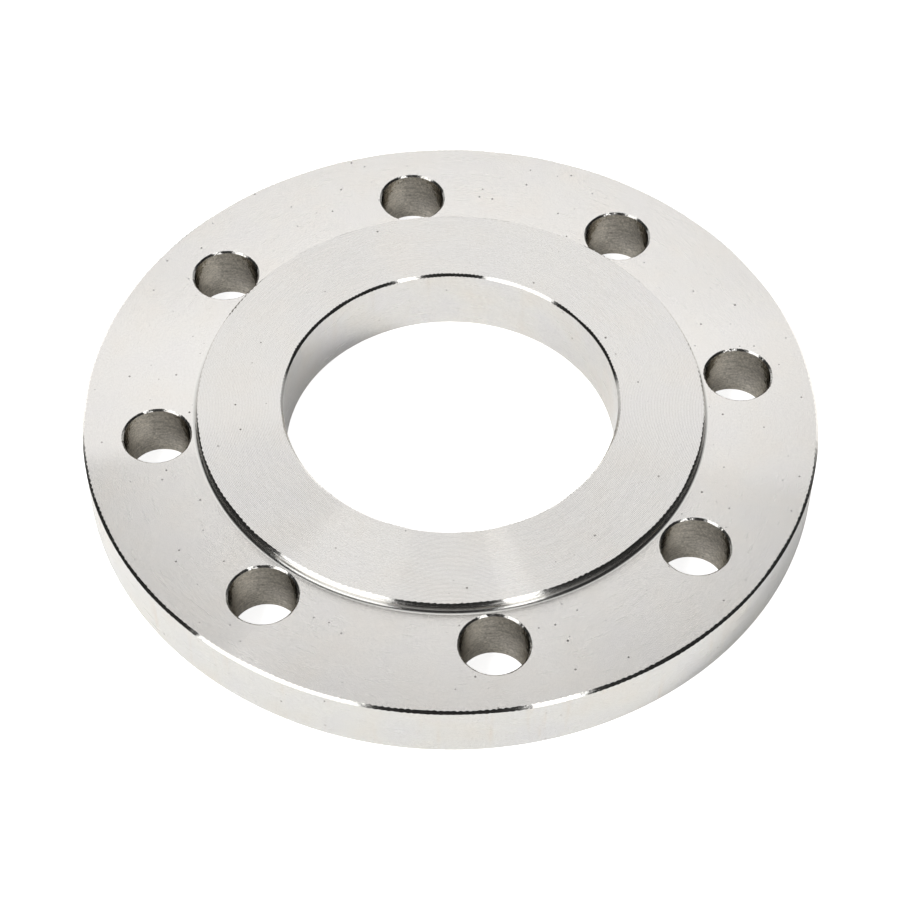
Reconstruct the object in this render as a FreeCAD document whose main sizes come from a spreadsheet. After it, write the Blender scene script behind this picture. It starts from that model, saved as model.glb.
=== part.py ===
import FreeCAD, Part
import os
import Sketcher

# Plate flange with a raised sealing face, for welding to a pipe of nominal size 80 (88.9 mm outside).
# The frame's origin is the centre of the back face, and +Z runs along the bore to the raised face.

# Driving sizes: name, value and what it measures (mm, apart from the count).
driving_sizes = [
    ("outer_diameter", 200.0, "outside of the ring"),
    ("total_thickness", 20.0, "back face to sealing face"),
    ("raised_face_diameter", 138.0, "outside of the sealing face"),
    ("raised_face_height", 3.0, "sealing face above the bolting face"),
    ("bore_diameter", 91.0, "hole that the pipe slides into"),
    ("bolt_circle_diameter", 160.0, "circle through the bolt hole centres"),
    ("bolt_hole_diameter", 18.0, "clearance hole for an M16 bolt"),
    ("bolt_hole_count", 8, "bolt holes, which straddle the X and Y axes"),
    ("rim_chamfer", 0.7, "outer edge of the bolting face"),
    ("bore_chamfer", 0.65, "mouth of the bore on the sealing face"),
    ("bolt_hole_chamfer", 0.5, "mouth of each bolt hole on the bolting face"),
    ("sealing_edge_break", 0.35, "outer edge of the sealing face"),
    ("back_edge_break", 0.3, "rim, bore and bolt holes at the back face"),
    ("root_fillet", 1.3, "tool radius between the sealing step and the bolting face"),
]


def make_sheet(doc, rows):
    """Writes the driving sizes into a spreadsheet, one aliased cell each."""
    sheet = doc.addObject("Spreadsheet::Sheet", "Sizes")
    for row, (alias, value, note) in enumerate(rows, start=1):
        sheet.set("A%d" % row, alias)
        sheet.set("B%d" % row, str(value))
        sheet.set("C%d" % row, note)
        sheet.setAlias("B%d" % row, alias)
    doc.recompute()
    return sheet


def origin_plane(body, role):
    """The body's own origin plane with this role."""
    return next(f for f in body.Origin.OriginFeatures if f.Role == role)


def sketch_on(body, role, name):
    """A sketch attached flat to one of the body's origin planes."""
    sketch = body.newObject("Sketcher::SketchObject", name)
    sketch.AttachmentSupport = [(origin_plane(body, role), "")]
    sketch.MapMode = "FlatFace"
    return sketch


def closed_outline(sketch, corners):
    """Straight lines from corner to corner and back to the first, joined end to end."""
    points = [FreeCAD.Vector(x, y, 0) for x, y in corners]
    lines = [
        sketch.addGeometry(Part.LineSegment(start, end), False)
        for start, end in zip(points, points[1:] + points[:1])
    ]
    for line, following in zip(lines, lines[1:] + lines[:1]):
        sketch.addConstraint(Sketcher.Constraint("Coincident", line, 2, following, 1))
    return lines


def level(sketch, *lines):
    """Holds these lines level in the sketch."""
    for line in lines:
        sketch.addConstraint(Sketcher.Constraint("Horizontal", line))


def upright(sketch, *lines):
    """Holds these lines upright in the sketch."""
    for line in lines:
        sketch.addConstraint(Sketcher.Constraint("Vertical", line))


def dimension(sketch, kind, ends, name, formula):
    """A named dimension, DistanceX, DistanceY or Angle, that a formula of the sheet sets."""
    drawn = 1.0
    index = sketch.addConstraint(Sketcher.Constraint(kind, *ends, drawn))
    sketch.renameConstraint(index, name)
    sketch.setExpression("Constraints.%s" % name, formula)


def circle_edges(shape, radius, height):
    """Names of the shape's level circular edges with this radius, at this height, about the Z axis."""
    names = []
    for number, edge in enumerate(shape.Edges, start=1):
        curve = edge.Curve
        if not isinstance(curve, Part.Circle):
            continue
        off_axis = abs(curve.Center.x) + abs(curve.Center.y)
        if off_axis + abs(curve.Center.z - height) + abs(curve.Radius - radius) < 1e-4:
            names.append("Edge%d" % number)
    return names


def dress_edge(body, kind, name, base, circles, size_name):
    """A fillet or an equal-leg chamfer on the level circles (radius, height) of the base feature."""
    edges = [edge for radius, height in circles for edge in circle_edges(base.Shape, radius, height)]
    if len(edges) != len(circles):
        raise RuntimeError("%s found %d of %d edges" % (name, len(edges), len(circles)))
    feature = body.newObject(kind, name)
    feature.Base = (base, edges)
    feature.setExpression("Radius" if kind.endswith("Fillet") else "Size", "Sizes.%s" % size_name)
    body.Document.recompute()
    return feature


def make_blank(body):
    """The turned ring: half its section, revolved about the Z axis."""
    section = sketch_on(body, "XZ_Plane", "RingSection")
    rough_corners = [(45, 0), (100, 0), (100, 17), (69, 17), (69, 20), (45, 20)]
    back, rim, bolting_face, step, sealing_face, bore = closed_outline(section, rough_corners)
    level(section, back, bolting_face, sealing_face)
    upright(section, rim, step, bore)
    section.addConstraint(Sketcher.Constraint("PointOnObject", back, 1, -1))
    origin = (-1, 1)
    dimension(section, "DistanceX", (*origin, back, 1), "bore_radius", "Sizes.bore_diameter / 2")
    dimension(section, "DistanceX", (*origin, back, 2), "outer_radius", "Sizes.outer_diameter / 2")
    dimension(section, "DistanceX", (*origin, step, 1), "step_radius", "Sizes.raised_face_diameter / 2")
    dimension(section, "DistanceY", (*origin, sealing_face, 1), "thickness", "Sizes.total_thickness")
    dimension(section, "DistanceY", (step, 1, step, 2), "step_height", "Sizes.raised_face_height")

    ring = body.newObject("PartDesign::Revolution", "Ring")
    ring.Profile = section
    ring.ReferenceAxis = (section, ["V_Axis"])
    ring.Angle = 360
    body.Document.recompute()
    return ring


def dress_ring(body, ring, sheet):
    """The root fillet and the broken edges of the turned ring."""
    bore, outer, raised = sheet.bore_diameter / 2, sheet.outer_diameter / 2, sheet.raised_face_diameter / 2
    sealing = sheet.total_thickness
    bolting = sealing - sheet.raised_face_height
    chamfer, fillet = "PartDesign::Chamfer", "PartDesign::Fillet"
    tip = dress_edge(body, fillet, "RootFillet", ring, [(raised, bolting)], "root_fillet")
    tip = dress_edge(body, chamfer, "SealingEdge", tip, [(raised, sealing)], "sealing_edge_break")
    tip = dress_edge(body, chamfer, "RimChamfer", tip, [(outer, bolting)], "rim_chamfer")
    tip = dress_edge(body, chamfer, "BoreChamfer", tip, [(bore, sealing)], "bore_chamfer")
    return dress_edge(body, chamfer, "BackEdges", tip, [(outer, 0), (bore, 0)], "back_edge_break")


def drill_bolt_holes(body, sheet):
    """One hole with both mouths chamfered, turned about its own axis and repeated round the bolt circle.

    The cut is half the hole's section: each mouth's 45 degree cone runs on past its face by its own depth,
    and the cut goes on above the sealing face.
    """
    section = sketch_on(body, "XZ_Plane", "BoltHoleSection")
    half_pitch = FreeCAD.Rotation(FreeCAD.Vector(0, 1, 0), 180 / sheet.bolt_hole_count)
    section.AttachmentOffset = FreeCAD.Placement(FreeCAD.Vector(0, 0, 0), half_pitch)
    section.setExpression("AttachmentOffset.Rotation.Angle", "180 deg / Sizes.bolt_hole_count")
    rough_corners = [(80, -0.3), (89.6, -0.3), (89, 0.3), (89, 16.5), (90, 17.5), (90, 20.5), (80, 20.5)]
    below, back_cone, wall, front_cone, above_wall, above, middle = closed_outline(section, rough_corners)
    level(section, below, above)
    upright(section, wall, above_wall, middle)
    origin = (-1, 1)
    front_wall_end = "Sizes.total_thickness - Sizes.raised_face_height - Sizes.bolt_hole_chamfer"
    dimension(section, "DistanceX", (*origin, below, 1), "circle_radius", "Sizes.bolt_circle_diameter / 2")
    dimension(section, "DistanceX", (below, 1, wall, 1), "hole_radius", "Sizes.bolt_hole_diameter / 2")
    dimension(section, "DistanceY", (*origin, wall, 1), "back_depth", "Sizes.back_edge_break")
    dimension(section, "DistanceY", (*origin, wall, 2), "front_height", front_wall_end)
    dimension(section, "DistanceX", (wall, 1, below, 2), "back_width", "2 * Sizes.back_edge_break")
    dimension(section, "DistanceY", (below, 2, wall, 1), "back_reach", "2 * Sizes.back_edge_break")
    dimension(section, "DistanceX", (wall, 2, above_wall, 1), "front_width", "2 * Sizes.bolt_hole_chamfer")
    dimension(section, "DistanceY", (wall, 2, above_wall, 1), "front_reach", "2 * Sizes.bolt_hole_chamfer")
    dimension(section, "DistanceY", (above_wall, 1, above_wall, 2), "top_reach", "Sizes.raised_face_height")
    centre_line = Part.LineSegment(FreeCAD.Vector(80, -0.3, 0), FreeCAD.Vector(80, 20.5, 0))
    axis = section.addGeometry(centre_line, True)
    section.addConstraint(Sketcher.Constraint("Coincident", axis, 1, below, 1))
    section.addConstraint(Sketcher.Constraint("Coincident", axis, 2, middle, 1))
    body.Document.recompute()

    hole = body.newObject("PartDesign::Groove", "BoltHole")
    hole.Profile = section
    hole.ReferenceAxis = (section, ["Axis0"])
    hole.Angle = 360
    body.Document.recompute()

    holes = body.newObject("PartDesign::PolarPattern", "BoltHoles")
    holes.Originals = [hole]
    holes.Axis = (section, ["V_Axis"])
    holes.Angle = 360
    holes.setExpression("Occurrences", "Sizes.bolt_hole_count")
    body.Tip = holes
    body.Document.recompute()
    return holes


def make_flange(doc, sheet):
    """The whole flange, turned from one forging and drilled."""
    body = doc.addObject("PartDesign::Body", "Flange")
    body.Label = "flange"
    body.Placement = FreeCAD.Placement()
    ring = make_blank(body)
    dressed = dress_ring(body, ring, sheet)
    holes = drill_bolt_holes(body, sheet)
    if not holes.Shape.Volume < dressed.Shape.Volume:
        raise RuntimeError("the bolt holes took no metal away")
    return body


def check_document(doc, bodies):
    """Stops the script if a feature failed or a body is empty or not valid."""
    for item in doc.Objects:
        if "Invalid" in item.State or "Error" in item.State:
            raise RuntimeError("%s failed: %s" % (item.Name, item.State))
    for body in bodies:
        if body.Shape.isNull() or not body.Shape.isValid():
            raise RuntimeError("%s has no valid shape" % body.Label)


doc = FreeCAD.newDocument("PipeFlange")
sizes = make_sheet(doc, driving_sizes)
bodies = [make_flange(doc, sizes)]
doc.recompute()
check_document(doc, bodies)

os.makedirs("parts", exist_ok=True)
for body in bodies:
    body.Shape.exportStep("parts/%s.step" % body.Label)
    print(body.Label, "solids", len(body.Shape.Solids), "volume mm3 %.1f" % body.Shape.Volume)
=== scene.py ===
import math

import bpy
import numpy as np
from mathutils import Matrix, Vector


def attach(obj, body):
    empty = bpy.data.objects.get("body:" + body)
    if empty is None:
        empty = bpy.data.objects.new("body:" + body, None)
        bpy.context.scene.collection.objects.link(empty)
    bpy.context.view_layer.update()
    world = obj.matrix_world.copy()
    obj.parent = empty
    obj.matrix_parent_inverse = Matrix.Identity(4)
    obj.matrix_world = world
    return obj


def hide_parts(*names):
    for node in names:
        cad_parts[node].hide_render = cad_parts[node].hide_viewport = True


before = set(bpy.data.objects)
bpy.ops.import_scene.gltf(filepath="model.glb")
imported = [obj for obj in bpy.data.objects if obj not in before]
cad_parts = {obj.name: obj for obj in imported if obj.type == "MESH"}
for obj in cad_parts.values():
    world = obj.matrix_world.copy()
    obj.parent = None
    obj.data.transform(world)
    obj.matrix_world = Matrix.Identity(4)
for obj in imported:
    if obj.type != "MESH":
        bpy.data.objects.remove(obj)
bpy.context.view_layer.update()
mm = 0.001
print("frame loaded: nodes", sorted(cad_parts))


# sizes of the flange in mm, and how finely its surfaces are divided
flangeSizes = {
    "outerRadius": 100.0, "thickness": 20.0, "faceRadius": 69.0, "faceHeight": 3.0, "boreRadius": 45.5,
    "boltCircleRadius": 80.0, "holeRadius": 9.0, "holeCount": 8,
    "rimChamfer": 0.7, "boreChamfer": 0.65, "holeChamfer": 0.5, "faceEdge": 0.35, "backEdge": 0.3,
    "rootFillet": 1.3,
    "sectorSteps": 96,   # steps round the ring from one half-pitch line between holes to the next
    "sideSteps": 32,     # steps along each of those lines
    "spokeSteps": 5,     # steps from a hole's mouth out to the edges of its sector
    "spokeEase": 1.5,    # above 1, those steps are closer together near the mouth
    "filletSteps": 10,
    "edgeWander": 0.36, "mouthWander": 0.15,   # how far the broken edges of the ring and the hole mouths waver
    # how far one tooth of an edge strays at each of its steps, as a share of its height
    "rimTooth": (-0.8, 0.6), "turnedTooth": (-0.8, 0.7, 0.0), "mouthTooth": (-0.5, 1.0, 0.1),
    "toothShare": 0.7, "waveShare": 0.5, "waveCounts": (5, 11, 17, 29),   # waves in a turn
    "mouthSeed": 100,
    "weldScale": 1611.7,   # corners are one point within 1 / 1611.7 mm; no plain size lies on a half step
    "sameSlope": 0.999,    # an edge is sharp where the cosine between its two normals is less
}

# the finish of each kind of surface: its material slot on the piece
finishOrder = ["sealingFace", "boltingFace", "stepWall", "stepRoot", "rimWall", "boreWall", "turnedEdges", "holeWalls",
               "holeEdges", "backFace"]


# a grid of points as quads: face (r, c) has the corners (r, c), (r + 1, c), (r + 1, c + 1) and (r, c + 1)
def gridQuads(points, normals, finish, flip=False):
    corners = [(0, 0), (1, 0), (1, 1), (0, 1)]
    if flip:
        corners = corners[::-1]
    rows, cols = points.shape[0] - 1, points.shape[1] - 1
    take = lambda grid: np.stack([grid[r:r + rows, c:c + cols] for r, c in corners], axis=2).reshape(-1, 4, 3)
    return take(points), take(normals), np.full(rows * cols, finishOrder.index(finish))


# a profile carried round a vertical axis: point = centre + radius x direction + height x up, and the normal
# comes from its (radial, axial) pair in the same way; wander adds a (radial, axial) stray to each point
def turnedSurface(profile, profileNormals, directions, finish, centre=(0.0, 0.0), flip=False, wander=None):
    profile, profileNormals = np.asarray(profile, float), np.asarray(profileNormals, float)
    around = np.concatenate([directions, np.zeros((len(directions), 1))], axis=1)
    up = np.array([0.0, 0.0, 1.0])
    spread = lambda pairs: pairs[..., :1] * around[None] + pairs[..., 1:] * up
    shape = np.broadcast_to(profile[:, None], (len(profile), len(directions), 2))
    points = spread(shape if wander is None else shape + wander) + np.array([centre[0], centre[1], 0.0])
    return gridQuads(points, spread(np.broadcast_to(profileNormals[:, None], shape.shape)), finish, flip)


# a straight run of the profile: point = start + share x (end - start), for equal steps of share from 0 to 1;
# its normal is to the left of travel
def straightRun(start, end, steps=1):
    start, end = np.asarray(start, float), np.asarray(end, float)
    along = np.linspace(0, 1, steps + 1)[:, None]
    travel = (end - start) / np.linalg.norm(end - start)
    return start + along * (end - start), np.tile([-travel[1], travel[0]], (steps + 1, 1))


# how far an edge strays at each step round it: amount x (toothShare x a tooth of random height
# + waveShare x the mean of sine waves with random starts)
def edgeWaver(sizes, steps, amount, seed, tooth):
    random = np.random.default_rng(seed)
    heights = random.uniform(0.2, 1.0, -(-steps // len(tooth)))
    teeth = np.repeat(heights, len(tooth))[:steps] * np.resize(tooth, steps)
    turn = 2 * math.pi * np.arange(steps) / steps
    counts = sizes["waveCounts"]
    waves = sum(np.sin(turn * count + random.uniform(0, 6.3)) for count in counts) / len(counts)
    stray = amount * (sizes["toothShare"] * teeth + sizes["waveShare"] * waves)
    return np.append(stray, stray[0])


# the border of one sector with a hole in its middle, as radius x (cos angle, sin angle): up one side line,
# along the outer edge, down the other side line and back along the inner edge
def sectorBorder(sizes, index, inner, outer, stray=None):
    count, steps, side = sizes["holeCount"], sizes["sectorSteps"], sizes["sideSteps"]
    sweep = 2 * math.pi * (index + np.arange(steps + 1) / steps) / count
    low, high = sweep[0], sweep[-1]
    radii = inner + (outer - inner) * np.arange(side) / side
    angle = np.concatenate([np.full(side, low), sweep[:-1], np.full(side, high), sweep[:0:-1], [low]])
    radius = np.concatenate([radii, np.full(steps, outer), radii[::-1] + (outer - inner) / side,
                             np.full(steps, inner), [inner]])
    if stray is not None:
        radius[side:side + steps + 1] += stray[index * steps:(index + 1) * steps + 1]
    return np.stack([radius * np.cos(angle), radius * np.sin(angle)], axis=1)


# one sector of a flat ring, on straight spokes: point = (1 - share) x mouth point + share x border point,
# where share runs from 0 to 1 as (step / steps) to the power spokeEase
def drilledSector(sizes, border, centre, directions, mouth, height, facing, finish):
    share = (np.linspace(0, 1, sizes["spokeSteps"] + 1) ** sizes["spokeEase"])[:, None, None]
    flat = (centre + np.reshape(mouth, (-1, 1)) * directions) * (1 - share) + border * share
    points = np.concatenate([flat, np.full(flat.shape[:2] + (1,), height)], axis=2)
    normals = np.broadcast_to(np.array([0.0, 0.0, facing]), points.shape)
    return gridQuads(points, normals, finish, flip=facing < 0)


# every patch of the flange, as corner positions, corner normals and finish numbers: the runs of its section
# turned about Z, then for each hole its sector of the two flat faces and its own turned section
def flangePatches(s):
    top, deck = s["thickness"], s["thickness"] - s["faceHeight"]
    bore, rim, face, back = s["boreRadius"], s["outerRadius"], s["faceRadius"], s["backEdge"]
    root, steps = s["rootFillet"], s["holeCount"] * s["sectorSteps"]
    turn = 2 * math.pi * np.arange(steps + 1) / steps
    turn[-1] = 0.0
    ring = np.stack([np.cos(turn), np.sin(turn)], axis=1)
    quarter = np.linspace(math.pi, 1.5 * math.pi, s["filletSteps"] + 1)
    arc = np.stack([np.cos(quarter), np.sin(quarter)], axis=1)
    edgeNames = ["boreSide", "boreTop", "faceTop", "faceSide", "rimTop", "rimSide"]
    stray = {name: edgeWaver(s, steps, s["edgeWander"], seed, s["rimTooth" if "rim" in name else "turnedTooth"])
             for seed, name in enumerate(edgeNames)}
    # each run of the profile, its finish, and which rows stray: (row, 0 radial or 1 axial, edge)
    runs = [
        (straightRun((bore + back, 0), (bore, back)), "turnedEdges", []),
        (straightRun((bore, back), (bore, top - s["boreChamfer"]), 4), "boreWall", [(-1, 1, "boreSide")]),
        (straightRun((bore, top - s["boreChamfer"]), (bore + s["boreChamfer"], top)), "turnedEdges",
         [(0, 1, "boreSide"), (-1, 0, "boreTop")]),
        (straightRun((bore + s["boreChamfer"], top), (face - s["faceEdge"], top), 6), "sealingFace",
         [(0, 0, "boreTop"), (-1, 0, "faceTop")]),
        (straightRun((face - s["faceEdge"], top), (face, top - s["faceEdge"])), "turnedEdges",
         [(0, 0, "faceTop"), (-1, 1, "faceSide")]),
        (straightRun((face, top - s["faceEdge"]), (face, deck + root)), "stepWall", [(0, 1, "faceSide")]),
        ((np.array([face + root, deck + root]) + root * arc, -arc), "stepRoot", []),
        (straightRun((rim - s["rimChamfer"], deck), (rim, deck - s["rimChamfer"])), "turnedEdges",
         [(0, 0, "rimTop"), (-1, 1, "rimSide")]),
        (straightRun((rim, deck - s["rimChamfer"]), (rim, back), 4), "rimWall", [(0, 1, "rimSide")]),
        (straightRun((rim, back), (rim - back, 0)), "turnedEdges", []),
    ]
    patches = []
    for (points, normals), finish, straying in runs:
        wander = np.zeros((len(points), steps + 1, 2))
        for row, way, edge in straying:
            wander[row, :, way] = stray[edge]
        patches.append(turnedSurface(points, normals, ring, finish, wander=wander))
    mouth, backMouth, hole = s["holeRadius"] + s["holeChamfer"], s["holeRadius"] + back, s["holeRadius"]
    for index in range(s["holeCount"]):
        middle = 2 * math.pi * (index + 0.5) / s["holeCount"]
        centre = s["boltCircleRadius"] * np.array([math.cos(middle), math.sin(middle)])
        border = sectorBorder(s, index, face + root, rim - s["rimChamfer"], stray["rimTop"])
        spokes = (border - centre) / np.linalg.norm(border - centre, axis=1, keepdims=True)
        backBorder = sectorBorder(s, index, bore + back, rim - back)
        seed = s["mouthSeed"] + 2 * index
        mouthStray, lipStray = (edgeWaver(s, len(border) - 1, s["mouthWander"], seed + k, s["mouthTooth"])
                                for k in (0, 1))
        patches.append(drilledSector(s, border, centre, spokes, mouth + mouthStray, deck, 1.0, "boltingFace"))
        patches.append(drilledSector(s, backBorder, centre, spokes, backMouth, 0.0, -1.0, "backFace"))
        for start, end, rows, finish in [((mouth, deck), (hole, deck - s["holeChamfer"]), 1, "holeEdges"),
                                         ((hole, deck - s["holeChamfer"]), (hole, back), 4, "holeWalls"),
                                         ((hole, back), (backMouth, 0), 1, "holeEdges")]:
            points, normals = straightRun(start, end, rows)
            wander = np.zeros((rows + 1, len(spokes), 2))
            if start[0] == mouth:
                wander[0, :, 0], wander[-1, :, 1] = mouthStray, lipStray
            if finish == "holeWalls":
                wander[0, :, 1] = lipStray
            patches.append(turnedSurface(points, -normals, spokes, finish, centre, True, wander))
    return patches


# the patches welded into one closed mesh: corners whose rounded places agree are one point, and an edge
# is sharp where the dot product of its two faces' normals is under sameSlope
def makeFlange(name, sizes):
    patches = flangePatches(sizes)
    corners = np.concatenate([p[0] for p in patches])
    normals = np.concatenate([p[1] for p in patches])
    finishes = np.concatenate([p[2] for p in patches])
    keys = np.round(corners.reshape(-1, 3) * sizes["weldScale"]).astype(np.int64)
    _, first, welded = np.unique(keys, axis=0, return_index=True, return_inverse=True)
    welded = welded.reshape(-1, 4)
    points = corners.reshape(-1, 3)[first] * mm
    mesh = bpy.data.meshes.new(name)
    mesh.from_pydata(points.tolist(), [], welded.tolist())
    mesh.update()
    mesh.polygons.foreach_set("material_index", finishes.astype(np.int32))
    mesh.polygons.foreach_set("use_smooth", np.ones(len(welded), bool))
    # an edge is sharp where the normals that its two faces carry there differ
    edgeKeys = np.sort(np.stack([welded, np.roll(welded, -1, axis=1)], axis=2).reshape(-1, 2), axis=1)
    codes = edgeKeys[:, 0] * len(points) + edgeKeys[:, 1]
    startNormals = normals.reshape(-1, 3)
    lowFirst = (welded == edgeKeys[:, 0].reshape(-1, 4)).reshape(-1)
    endNormals = np.roll(normals, -1, axis=1).reshape(-1, 3)
    atLow = np.where(lowFirst[:, None], startNormals, endNormals)
    order = np.argsort(codes, kind="stable")
    pairs = codes[order].reshape(-1, 2)
    if not (pairs[:, 0] == pairs[:, 1]).all():
        raise RuntimeError("the flange mesh isn't closed")
    bend = np.einsum("ij,ij->i", atLow[order[0::2]], atLow[order[1::2]])
    sharpCodes = set(pairs[bend < sizes["sameSlope"], 0].tolist())
    ends = np.empty(len(mesh.edges) * 2, np.int32)
    mesh.edges.foreach_get("vertices", ends)
    ends = np.sort(ends.reshape(-1, 2).astype(np.int64), axis=1)
    sharp = np.isin(ends[:, 0] * len(points) + ends[:, 1], np.fromiter(sharpCodes, np.int64))
    mesh.attributes.new("sharp_edge", "BOOLEAN", "EDGE").data.foreach_set("value", sharp)
    mesh.normals_split_custom_set(normals.reshape(-1, 3).tolist())
    # the axis that each face was cut about: the ring's own, or its hole's
    middles = corners.mean(axis=1)
    angle = np.floor(np.arctan2(middles[:, 1], middles[:, 0]) / (2 * math.pi) * sizes["holeCount"]) + 0.5
    angle *= 2 * math.pi / sizes["holeCount"]
    drilled = np.isin(finishes, [finishOrder.index("holeWalls"), finishOrder.index("holeEdges")])
    axes = np.stack([np.cos(angle), np.sin(angle), np.zeros(len(angle))], axis=1) * sizes["boltCircleRadius"]
    axes[~drilled] = 0.0
    mesh.attributes.new("cutAxis", "FLOAT_VECTOR", "FACE").data.foreach_set("vector", (axes * mm).ravel())
    piece = bpy.data.objects.new(name, mesh)
    bpy.context.scene.collection.objects.link(piece)
    return piece


# a node with its settings, and its inputs by name or number, each a value or another node's output
def addNode(tree, kind, inputs=None, **settings):
    made = tree.nodes.new("ShaderNode" + kind)
    for key, value in settings.items():
        setattr(made, key, value)
    for key, value in (inputs or {}).items():
        if isinstance(value, bpy.types.NodeSocket):
            tree.links.new(value, made.inputs[key])
        else:
            made.inputs[key].default_value = value
    return made


# a number worked out from these values, such as value 0 x value 1 for MULTIPLY
def maths(tree, operation, *values):
    return addNode(tree, "Math", dict(enumerate(values)), operation=operation).outputs[0]


# a vector worked out from these vectors, or one number for a length or a dot product
def vectors(tree, operation, *values):
    made = addNode(tree, "VectorMath", dict(enumerate(values)), operation=operation)
    return made.outputs["Value" if operation in ("LENGTH", "DOT_PRODUCT") else "Vector"]


# vector x factor
def scaled(tree, vector, factor):
    return addNode(tree, "VectorMath", {0: vector, "Scale": factor}, operation="SCALE").outputs[0]


# value moved from low..high to toLow..toHigh, easing at both ends as 3 x share^2 - 2 x share^3
def eased(tree, value, low, high, toLow=0.0, toHigh=1.0):
    made = addNode(tree, "MapRange", {0: value, 1: low, 2: high, 3: toLow, 4: toHigh},
                   interpolation_type="SMOOTHSTEP")
    return made.outputs[0]


# a material with an empty node tree
def newMaterial(name):
    material = bpy.data.materials.new(name)
    material.use_nodes = True
    material.node_tree.nodes.clear()
    return material, material.node_tree


# colours are the metal's own, save that the rim, bore and hole walls are set darker as painted shade;
# land and flank are the roughness of those parts of a groove; turnRadius and pitch are in mm; flankShare is the
# flank's part of the pitch and shareDrift its change in a mm; flankSlope is the tangent of the flank's tilt at its
# two ends; grain, mottle, scratch, tint, stains, pits and chatter are amounts, and 0 is none; the edge tint, 1
# unless given, darkens the metal where it is seen edge-on, as painted shade
steelLooks = {
    "sealingFace": {"colour": (0.864, 0.844, 0.814, 1), "land": 0.27, "flank": 0.16, "anisotropy": 0.9,
                    "across": "radius", "turnRadius": 57.0, "pitch": 0.41, "flankShare": 0.1,
                    "flankSlope": (0.42, 0.92), "grain": 0.004, "mottle": 0.012, "scratch": 0.008, "tint": 1.0,
                    "stains": 0.0, "pits": 0.06, "chatter": 0.0},
    "boltingFace": {"colour": (0.937, 0.912, 0.877, 1), "land": 0.25, "flank": 0.11, "anisotropy": 0.9,
                    "across": "radius", "turnRadius": 85.0, "pitch": 0.23, "flankShare": 0.23,
                    "shareDrift": 0.0048, "flankSlope": (0.54, 0.63), "grain": 0.006, "mottle": 0.025,
                    "scratch": 0.01, "tint": 1.0, "stains": 0.0, "pits": 0.13, "chatter": 0.0},
    "stepWall": {"colour": (0.86, 0.845, 0.81, 1), "land": 0.2, "flank": 0.2, "anisotropy": 0.8,
                 "across": "height", "turnRadius": 69.0, "pitch": 1.1, "flankShare": 0.92,
                 "flankSlope": (-1.15, -0.85), "grain": 0.01, "mottle": 0.04, "scratch": 0.06, "tint": 1.0,
                 "stains": 0.0, "pits": 0.0, "chatter": 0.02},
    "stepRoot": {"colour": (0.88, 0.865, 0.83, 1), "land": 0.2, "flank": 0.2, "anisotropy": 0.8,
                 "across": "height", "turnRadius": 69.0, "pitch": 0.2, "flankShare": 0.0,
                 "flankSlope": (0.2, 0.3), "grain": 0.0, "mottle": 0.02, "scratch": 0.0, "tint": 0.5,
                 "stains": 0.0, "pits": 0.0, "chatter": 0.012},
    # rimWall and boreWall: the same turned steel as the faces, set far darker as painted shade that offsets the strong
    # fill lamps on the floor these walls mirror; their stains, pits and tint patches are the metal's own
    "rimWall": {"colour": (0.635, 0.63, 0.61, 1), "land": 0.25, "flank": 0.25, "anisotropy": 0.8,
                "across": "height", "turnRadius": 100.0, "pitch": 0.23, "flankShare": 0.05,
                "flankSlope": (0.4, 0.6), "grain": 0.01, "mottle": 0.05, "scratch": 0.03, "tint": 2.5,
                "stains": 0.5, "pits": 0.12, "chatter": 0.015},
    "boreWall": {"colour": (0.7, 0.69, 0.67, 1), "land": 0.25, "flank": 0.25, "anisotropy": 0.8,
                 "across": "height", "turnRadius": 45.5, "pitch": 0.23, "flankShare": 0.05,
                 "flankSlope": (-0.6, -0.4), "grain": 0.01, "mottle": 0.05, "scratch": 0.03, "tint": 2.5,
                 "stains": 0.15, "pits": 0.08, "chatter": 0.015},
    "turnedEdges": {"colour": (0.88, 0.865, 0.83, 1), "land": 0.12, "flank": 0.12, "anisotropy": 0.6,
                    "across": "height", "turnRadius": 80.0, "pitch": 0.2, "flankShare": 0.0,
                    "flankSlope": (0.2, 0.3), "grain": 0.0, "mottle": 0.02, "scratch": 0.0, "tint": 0.5,
                    "stains": 0.0, "pits": 0.0, "chatter": 0.012},
    # holeWalls: the brownish tone is the drilled metal's own, and its darkness is partly painted shade for the hollow
    # of the holes; the edge tint of 0.1 darkens their sides where seen edge-on, as painted shade for the dark sides of
    # the holes
    "holeWalls": {"colour": (0.62, 0.585, 0.52, 1), "land": 0.15, "flank": 0.2, "anisotropy": 0.3,
                  "across": "height", "turnRadius": 9.0, "pitch": 0.35, "flankShare": 0.3,
                  "flankSlope": (-0.25, 0.25), "grain": 0.05, "mottle": 0.25, "scratch": 0.15, "tint": 2.0,
                  "stains": 0.0, "pits": 0.0, "chatter": 0.05, "paintedEdgeOnShade": 0.1},
    "holeEdges": {"colour": (0.86, 0.845, 0.81, 1), "land": 0.22, "flank": 0.22, "anisotropy": 0.3,
                  "across": "height", "turnRadius": 9.0, "pitch": 0.2, "flankShare": 0.0,
                  "flankSlope": (0.2, 0.3), "grain": 0.05, "mottle": 0.1, "scratch": 0.0, "tint": 1.0,
                  "stains": 0.0, "pits": 0.0, "chatter": 0.12},
    "backFace": {"colour": (0.875, 0.86, 0.825, 1), "land": 0.3, "flank": 0.2, "anisotropy": 0.9,
                 "across": "radius", "turnRadius": 75.0, "pitch": 0.3, "flankShare": 0.2,
                 "flankSlope": (0.55, 0.75), "grain": 0.015, "mottle": 0.05, "scratch": 0.04, "tint": 1.0,
                 "stains": 0.0, "pits": 0.3, "chatter": 0.0},
}


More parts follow.
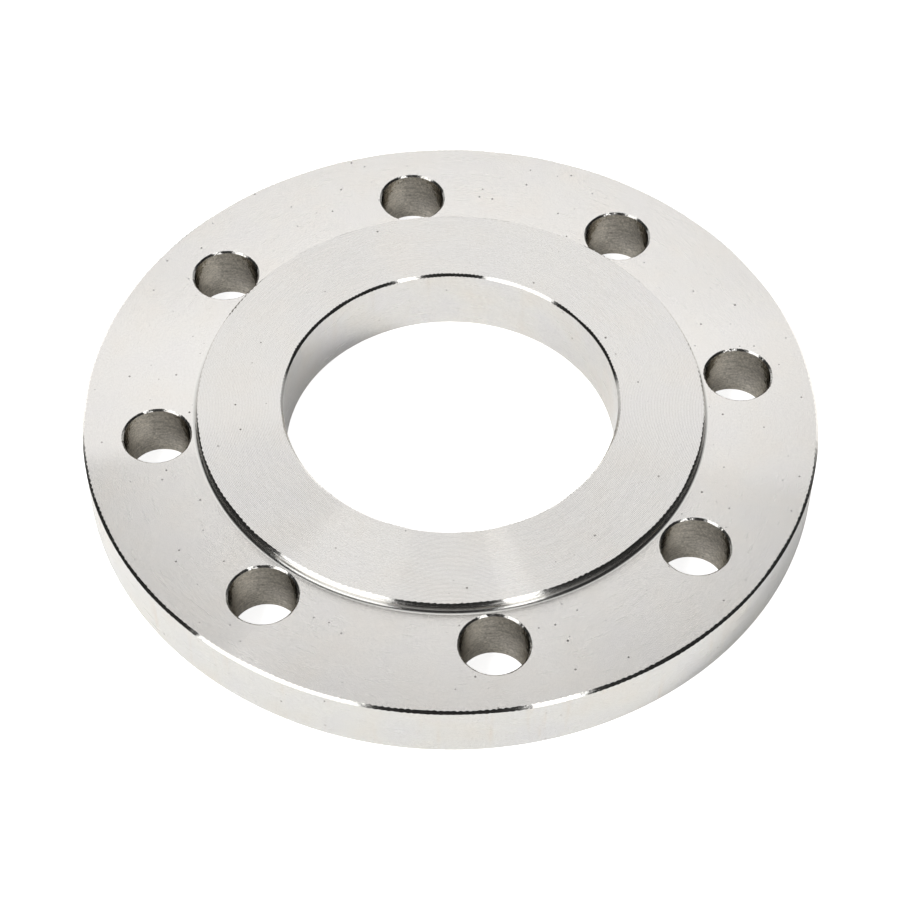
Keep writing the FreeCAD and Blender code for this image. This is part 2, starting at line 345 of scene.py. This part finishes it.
# what all the finishes share; a scale is in waves a mm, and a pair is (least, most) unless it says otherwise
steelDetail = {
    "streakScale": (0.14, 1.6),   # round the ring, as a share of turnRadius, and across the grooves
    "mottleScale": 1.7, "patchScale": 0.07, "waverScale": 0.8,
    "glossSwing": 0.12,           # the streaks change the roughness by this share
    "chatterGain": 4.0, "grainGain": 5.0,
    "warm": (0.004, -0.006, -0.018), "cool": (-0.01, -0.009, 0.003),   # change of colour where tint is 1
    "stainScale": (0.3, 0.03),    # along the grooves and across them
    "stainEdge": (0.56, 0.75), "stainColour": (0.6, 0.53, 0.45, 1),
    "pitScale": 0.25, "pitSize": (0.1, 0.3), "pitDepth": (0.3, 0.9), "pitEdge": (-0.05, 0.08),
    "pitColour": (0.1, 0.085, 0.075, 1),
}


# middle plus or minus this much as the noise goes from 0.3 to 0.7
def swing(tree, noise, amount, middle=1.0):
    return addNode(tree, "MapRange", {0: noise, 1: 0.3, 2: 0.7, 3: middle - amount, 4: middle + amount},
                   clamp=False).outputs[0]


# machined steel: grooves round the axis of the cut, each with a near-flat land and a steep flank;
# shading normal = true normal + flank slope x across + chatter x around + grain
def makeMachinedSteel(name, look, detail):
    material, tree = newMaterial(name)
    position = addNode(tree, "TexCoord").outputs["Object"]
    axis = addNode(tree, "Attribute", attribute_name="cutAxis").outputs["Vector"]
    spot = scaled(tree, vectors(tree, "SUBTRACT", position, axis), 1000.0)   # mm from the axis
    parts = addNode(tree, "SeparateXYZ", {0: spot})
    level = addNode(tree, "CombineXYZ", {0: parts.outputs[0], 1: parts.outputs[1]}).outputs[0]
    radius = vectors(tree, "LENGTH", level)
    outward = vectors(tree, "NORMALIZE", level)
    around = vectors(tree, "CROSS_PRODUCT", (0, 0, 1), outward)
    normal = addNode(tree, "NewGeometry").outputs["Normal"]
    across = vectors(tree, "CROSS_PRODUCT", around, normal)
    walled = look["across"] == "height"
    distance = parts.outputs[2] if walled else radius
    turn = maths(tree, "ARCTAN2", parts.outputs[1], parts.outputs[0])

    # where a point lies with the surface unrolled, and the same drawn out along the grooves, for streaks
    unrolled = addNode(tree, "CombineXYZ", {0: maths(tree, "MULTIPLY", turn, radius), 1: distance}).outputs[0]
    laid = unrolled if walled else level
    ringward = scaled(tree, outward, detail["streakScale"][0] * look["turnRadius"])
    crossing = scaled(tree, addNode(tree, "CombineXYZ", {2: distance}).outputs[0], detail["streakScale"][1])
    streaky = vectors(tree, "ADD", ringward, crossing)

    # one groove after another along a spiral, as the tool cut them
    spiral = maths(tree, "MULTIPLY", turn, look["pitch"] / (2 * math.pi))
    phase = maths(tree, "FRACT", maths(tree, "DIVIDE", maths(tree, "ADD", distance, spiral), look["pitch"]))
    share, drift = look["flankShare"], look.get("shareDrift", 0.0)
    if drift:   # more of the groove is flank towards the outside of the face
        share = maths(tree, "MULTIPLY_ADD", distance, drift, share - drift * look["turnRadius"])
    flank = maths(tree, "LESS_THAN", phase, share)
    steepness = addNode(tree, "MapRange", {0: phase, 1: 0.0, 2: share if drift else max(share, 0.01),
                                           3: look["flankSlope"][0], 4: look["flankSlope"][1]}).outputs[0]
    mottle = addNode(tree, "TexNoise", {"Vector": spot, "Scale": detail["mottleScale"], "Detail": 2.0})
    scratches = addNode(tree, "TexNoise", {"Vector": streaky, "Scale": 1.0, "Detail": 3.0}).outputs[0]
    roughness = addNode(tree, "MapRange", {0: flank, 3: look["land"], 4: look["flank"]}).outputs[0]
    roughness = maths(tree, "MULTIPLY", roughness, swing(tree, scratches, detail["glossSwing"]))

    # chatter: the surface wavers as it goes round; grain: it tilts a little at random
    place = scaled(tree, spot, detail["waverScale"])
    waver = addNode(tree, "TexNoise", {"Vector": place, "Scale": 1.0, "Detail": 2.0}).outputs[0]
    sideways = maths(tree, "MULTIPLY", maths(tree, "SUBTRACT", waver, 0.5), detail["chatterGain"] * look["chatter"])
    grain = vectors(tree, "SUBTRACT", mottle.outputs["Color"], (0.5, 0.5, 0.5))
    grain = scaled(tree, grain, detail["grainGain"] * look["grain"])
    tilted = vectors(tree, "ADD", normal, scaled(tree, across, maths(tree, "MULTIPLY", flank, steepness)))
    tilted = vectors(tree, "ADD", vectors(tree, "ADD", tilted, scaled(tree, around, sideways)), grain)
    tilted = vectors(tree, "NORMALIZE", tilted)

    # warm and cool patches, fine mottling and streaks
    patches = addNode(tree, "TexNoise", {"Vector": spot, "Scale": detail["patchScale"], "Detail": 3.0})
    tints = addNode(tree, "ValToRGB", {0: patches.outputs[0]})
    tints.color_ramp.elements.new(0.5)
    leans = (detail["warm"], (0.0, 0.0, 0.0), detail["cool"])
    for element, place, lean in zip(tints.color_ramp.elements, (0.3, 0.5, 0.7), leans):
        element.position = place
        element.color = [base * (1 + change * look["tint"]) for base, change in zip(look["colour"], lean)] + [1]
    tone = maths(tree, "MULTIPLY", swing(tree, mottle.outputs[0], look["mottle"]),
                 swing(tree, scratches, look["scratch"]))
    colour = addNode(tree, "Mix", {"Factor": 1.0, 6: tints.outputs[0], 7: tone}, data_type="RGBA",
                     blend_type="MULTIPLY").outputs[2]

    # brown stains run up and down the walls; small dark pits lie all over
    if look["stains"]:
        drawn = vectors(tree, "MULTIPLY", unrolled, (*detail["stainScale"], 0.0))
        runs = addNode(tree, "TexNoise", {"Vector": drawn, "Scale": 1.0, "Detail": 4.0}).outputs[0]
        stain = maths(tree, "MULTIPLY", eased(tree, runs, *detail["stainEdge"]), look["stains"])
        colour = addNode(tree, "Mix", {"Factor": stain, 6: colour, 7: detail["stainColour"]},
                         data_type="RGBA").outputs[2]
    if look["pits"]:
        scale, (small, large), (faint, full) = detail["pitScale"], detail["pitSize"], detail["pitDepth"]
        cells = addNode(tree, "TexVoronoi", {"Vector": laid, "Scale": scale}, voronoi_dimensions="2D")
        pick = addNode(tree, "SeparateXYZ", {0: cells.outputs["Color"]}).outputs
        size = maths(tree, "MULTIPLY_ADD", pick[1], large - small, small)
        reach = maths(tree, "SUBTRACT", maths(tree, "DIVIDE", cells.outputs["Distance"], scale), size)
        depth = maths(tree, "MULTIPLY", maths(tree, "LESS_THAN", pick[0], look["pits"]),
                      maths(tree, "MULTIPLY_ADD", pick[2], full - faint, faint))
        pit = maths(tree, "MULTIPLY", eased(tree, reach, *detail["pitEdge"], 1.0, 0.0), depth)
        colour = addNode(tree, "Mix", {"Factor": pit, 6: colour, 7: detail["pitColour"]},
                         data_type="RGBA").outputs[2]
    # a Specular Tint under 1 darkens the metal where it is seen edge-on: painted shade on the sides of the holes
    steel = addNode(tree, "BsdfPrincipled", {
        "Base Color": colour, "Metallic": 1.0, "Roughness": roughness,
        "Anisotropic": look["anisotropy"], "Tangent": across, "Normal": tilted,
        "Specular Tint": (look.get("paintedEdgeOnShade", 1.0),) * 3 + (1.0,)})
    addNode(tree, "OutputMaterial", {"Surface": steel.outputs[0]})
    return material


flange = makeFlange("turnedFlange", flangeSizes)
for finish in finishOrder:
    flange.data.materials.append(makeMachinedSteel(finish, steelLooks[finish], steelDetail))
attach(flange, "root")
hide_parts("flange")
print("flange made:", len(flange.data.polygons) * 2, "triangles")


cameraSetup = {
    "azimuth": 14.28205, "elevation": 50.84553, "roll": 0.27139, "distance": 694.222,   # degrees and mm
    "aim": (-0.0750, -2.0686), "lens": 100.12684, "sensor": 36.0, "clip": (0.01, 100.0),   # clip in m
}

studio = {   # azimuths from the camera's side, turning right, and elevations, in degrees
    "white": 1.0,                    # the backdrop's brightness as the camera sees it
    "backMiddle": 0.0, "backEdge": (119.5, 123.5),    # the bright back of the room begins this far round
    "backLean": 0.18,                # and comes nearer by this much a degree of elevation on the right
    "backFade": (0.7, 0.35), "fadeWidth": (122.0, 165.0),   # it is this much dimmer at its left and right edge
    "foot": (-4.0, 13.0), "footBlur": 10.0, "footDim": 0.6,   # its edge's foot is dimmer still, and softer
    "ceiling": (68.0, 84.0),         # the bright ceiling begins this high on the camera's side
    "dark": 0.02, "bright": 0.98, "overhead": 0.7,
    "frontSweep": (70.0, 40.0), "frontTop": (16.0, 5.0), "front": 0.4,   # a low band behind the camera
    "floorColour": (0.8, 0.8, 0.8, 1), "floorGlowCamera": 0.85, "floorGlowGloss": 0.16,
    "floorReach": 0.32, "floorDrop": 0.00002,   # in m
}

lamps = {   # upright boxes: azimuth and sweep, low and high edge in degrees from the object; distance in m
    "leftSoftBox": {"azimuth": -44.75, "sweep": 44.5, "low": 20.0, "high": 50.0, "distance": 3.0,
                    "radiance": 1.5, "mirrored": True},
    "leftLowBox": {"azimuth": -44.75, "sweep": 44.5, "low": 4.0, "high": 20.0, "distance": 3.0,
                   "radiance": 0.9, "mirrored": True},
    "rightSoftBox": {"azimuth": 28.5, "sweep": 14.0, "low": 20.0, "high": 50.0, "distance": 3.0,
                     "radiance": 2.0, "mirrored": True},
    "rightLowBox": {"azimuth": 28.5, "sweep": 14.0, "low": 4.0, "high": 20.0, "distance": 3.0,
                    "radiance": 0.9, "mirrored": True},
    "highFill": {"azimuth": -62.0, "sweep": 20.0, "low": 52.0, "high": 64.0, "distance": 1.5,
                 "radiance": 32.0, "mirrored": False, "colour": (1.0, 0.985, 0.96)},
    "middleFill": {"azimuth": -55.0, "sweep": 20.0, "low": 30.0, "high": 42.0, "distance": 1.5,
                   "radiance": 36.0, "mirrored": False, "colour": (1.0, 0.985, 0.96)},
    "lowFill": {"azimuth": 20.0, "sweep": 20.0, "low": 12.0, "high": 22.0, "distance": 1.5,
                "radiance": 36.0, "mirrored": False, "colour": (1.0, 0.985, 0.96)},
}


# unit vector towards a place at this azimuth, from the camera's side, and elevation:
# (sin azimuth x cos elevation, -cos azimuth x cos elevation, sin elevation)
def studioDirection(azimuth, elevation):
    a, e = math.radians(azimuth + cameraSetup["azimuth"]), math.radians(elevation)
    return Vector((math.sin(a) * math.cos(e), -math.cos(a) * math.cos(e), math.sin(e)))


# the camera: place = aim + distance x the way back to it, then turned by the roll about that way
def makeCamera(setup):
    back = studioDirection(0, setup["elevation"])
    turn = Matrix.Rotation(math.radians(setup["azimuth"]), 3, "Z")
    right = turn @ Vector((1, 0, 0))
    up = back.cross(right)
    roll = math.radians(setup["roll"])
    right, up = math.cos(roll) * right + math.sin(roll) * up, math.cos(roll) * up - math.sin(roll) * right
    place = (turn @ Vector((setup["aim"][0], setup["aim"][1], 0)) + back * setup["distance"]) * mm
    data = bpy.data.cameras.new("photoCamera")
    data.lens, data.sensor_width = setup["lens"], setup["sensor"]
    data.clip_start, data.clip_end = setup["clip"]
    camera = bpy.data.objects.new("photoCamera", data)
    camera.matrix_world = Matrix.Translation(place) @ Matrix((right, up, back)).transposed().to_4x4()
    bpy.context.scene.collection.objects.link(camera)
    bpy.context.scene.camera = camera
    return camera


# an upright lamp facing the object: each edge's height = distance x tan elevation, width = 2 x distance
# x tan half sweep, energy = radiance x pi x area; one that isn't mirrored only lights the floor
def makeLamp(name, box):
    low, high = (box["distance"] * math.tan(math.radians(box[side])) for side in ("low", "high"))
    width, height = 2 * box["distance"] * math.tan(math.radians(box["sweep"] / 2)), high - low
    data = bpy.data.lights.new(name, "AREA")
    data.shape, data.size, data.size_y = "RECTANGLE", width, height
    data.energy = box["radiance"] * math.pi * width * height
    data.color = box.get("colour", (1.0, 1.0, 1.0))
    light = bpy.data.objects.new(name, data)
    towards = studioDirection(box["azimuth"], 0)
    light.location = towards * box["distance"] + Vector((0, 0, (low + high) / 2))
    light.rotation_euler = towards.to_track_quat("Z", "Y").to_euler()
    light.visible_camera = False
    light.visible_glossy = box["mirrored"]
    bpy.context.scene.collection.objects.link(light)
    return light


# the room round the object, worked out from the azimuth and elevation of each direction: white as the
# camera sees it, and for the metal the brightest of back wall, ceiling and low front band
def makeWorld(room):
    world = bpy.data.worlds.new("studioRoom")
    bpy.context.scene.world = world
    world.use_nodes = True
    tree = world.node_tree
    tree.nodes.clear()
    direction = addNode(tree, "TexCoord").outputs["Generated"]
    turned = addNode(tree, "VectorRotate", {"Vector": direction, "Axis": (0, 0, 1),
                                            "Angle": -math.radians(cameraSetup["azimuth"])}).outputs[0]
    parts = addNode(tree, "SeparateXYZ", {0: turned})
    azimuth = maths(tree, "DEGREES", maths(tree, "ARCTAN2", parts.outputs[0],
                                           maths(tree, "MULTIPLY", parts.outputs[1], -1.0)))
    elevation = maths(tree, "DEGREES", maths(tree, "ARCSINE", parts.outputs[2]))
    high = maths(tree, "MAXIMUM", elevation, 0.0)
    onRight = maths(tree, "GREATER_THAN", azimuth, 0.0)
    lean = maths(tree, "MULTIPLY", maths(tree, "MULTIPLY", high, room["backLean"]), onRight)
    aside = maths(tree, "ABSOLUTE", maths(tree, "SUBTRACT", azimuth, room["backMiddle"]))
    aside = maths(tree, "ADD", aside, lean)
    blur = eased(tree, elevation, *room["foot"], room["footBlur"], 0.0)
    backWall = eased(tree, aside, room["backEdge"][0], maths(tree, "ADD", blur, room["backEdge"][1]))
    left, right = room["backFade"]
    edgeShare = maths(tree, "MULTIPLY_ADD", onRight, right - left, left)
    footShare = eased(tree, elevation, *room["foot"], room["footDim"], 1.0)
    shade = eased(tree, aside, *room["fadeWidth"], maths(tree, "MULTIPLY", edgeShare, footShare), 1.0)
    backWall = maths(tree, "MULTIPLY", backWall, shade)
    ceiling = maths(tree, "MULTIPLY", eased(tree, elevation, *room["ceiling"]), room["overhead"])
    front = maths(tree, "MULTIPLY", eased(tree, maths(tree, "ABSOLUTE", azimuth), *room["frontSweep"]),
                  eased(tree, elevation, *room["frontTop"], 0.0, room["front"]))
    lit = maths(tree, "MAXIMUM", maths(tree, "MAXIMUM", backWall, ceiling), front)
    strength = addNode(tree, "MapRange", {0: lit, 3: room["dark"], 4: room["bright"]}).outputs[0]
    seen = addNode(tree, "LightPath").outputs["Is Camera Ray"]
    shown = addNode(tree, "Mix", {"Factor": seen, "A": strength, "B": room["white"]}, data_type="FLOAT").outputs[0]
    glow = addNode(tree, "Background", {"Color": (1, 1, 1, 1), "Strength": shown})
    addNode(tree, "OutputWorld", {"Surface": glow.outputs[0]})
    return world


# a pale square floor that keeps the object's soft shadow, its corners at plus and minus floorReach;
# from below it is clear
def makeFloor(room):
    points = [(x * room["floorReach"], y * room["floorReach"], -room["floorDrop"])
              for x, y in ((-1, -1), (1, -1), (1, 1), (-1, 1))]
    mesh = bpy.data.meshes.new("paleFloor")
    mesh.from_pydata(points, [], [(0, 1, 2, 3)])
    mesh.update()
    floor = bpy.data.objects.new("paleFloor", mesh)
    bpy.context.scene.collection.objects.link(floor)
    material, tree = newMaterial("paleFloor")
    path = addNode(tree, "LightPath")
    gloss = maths(tree, "MAXIMUM", path.outputs["Is Glossy Ray"], path.outputs["Is Transmission Ray"])
    glow = maths(tree, "ADD", maths(tree, "MULTIPLY", gloss, room["floorGlowGloss"]),
                 maths(tree, "MULTIPLY", path.outputs["Is Camera Ray"], room["floorGlowCamera"]))
    paint = addNode(tree, "BsdfDiffuse", {"Color": room["floorColour"]})
    light = addNode(tree, "Emission", {"Color": (1, 1, 1, 1), "Strength": glow})
    both = addNode(tree, "AddShader", {0: paint.outputs[0], 1: light.outputs[0]})
    clear = addNode(tree, "BsdfTransparent")
    below = addNode(tree, "NewGeometry").outputs["Backfacing"]
    surface = addNode(tree, "MixShader", {0: below, 1: both.outputs[0], 2: clear.outputs[0]})
    addNode(tree, "OutputMaterial", {"Surface": surface.outputs[0]})
    mesh.materials.append(material)
    return floor


makeCamera(cameraSetup)
makeWorld(studio)
makeFloor(studio)
for name, box in lamps.items():
    makeLamp(name, box)
bpy.context.scene.view_settings.view_transform = "Standard"
print("studio made:", len(lamps), "lamps")
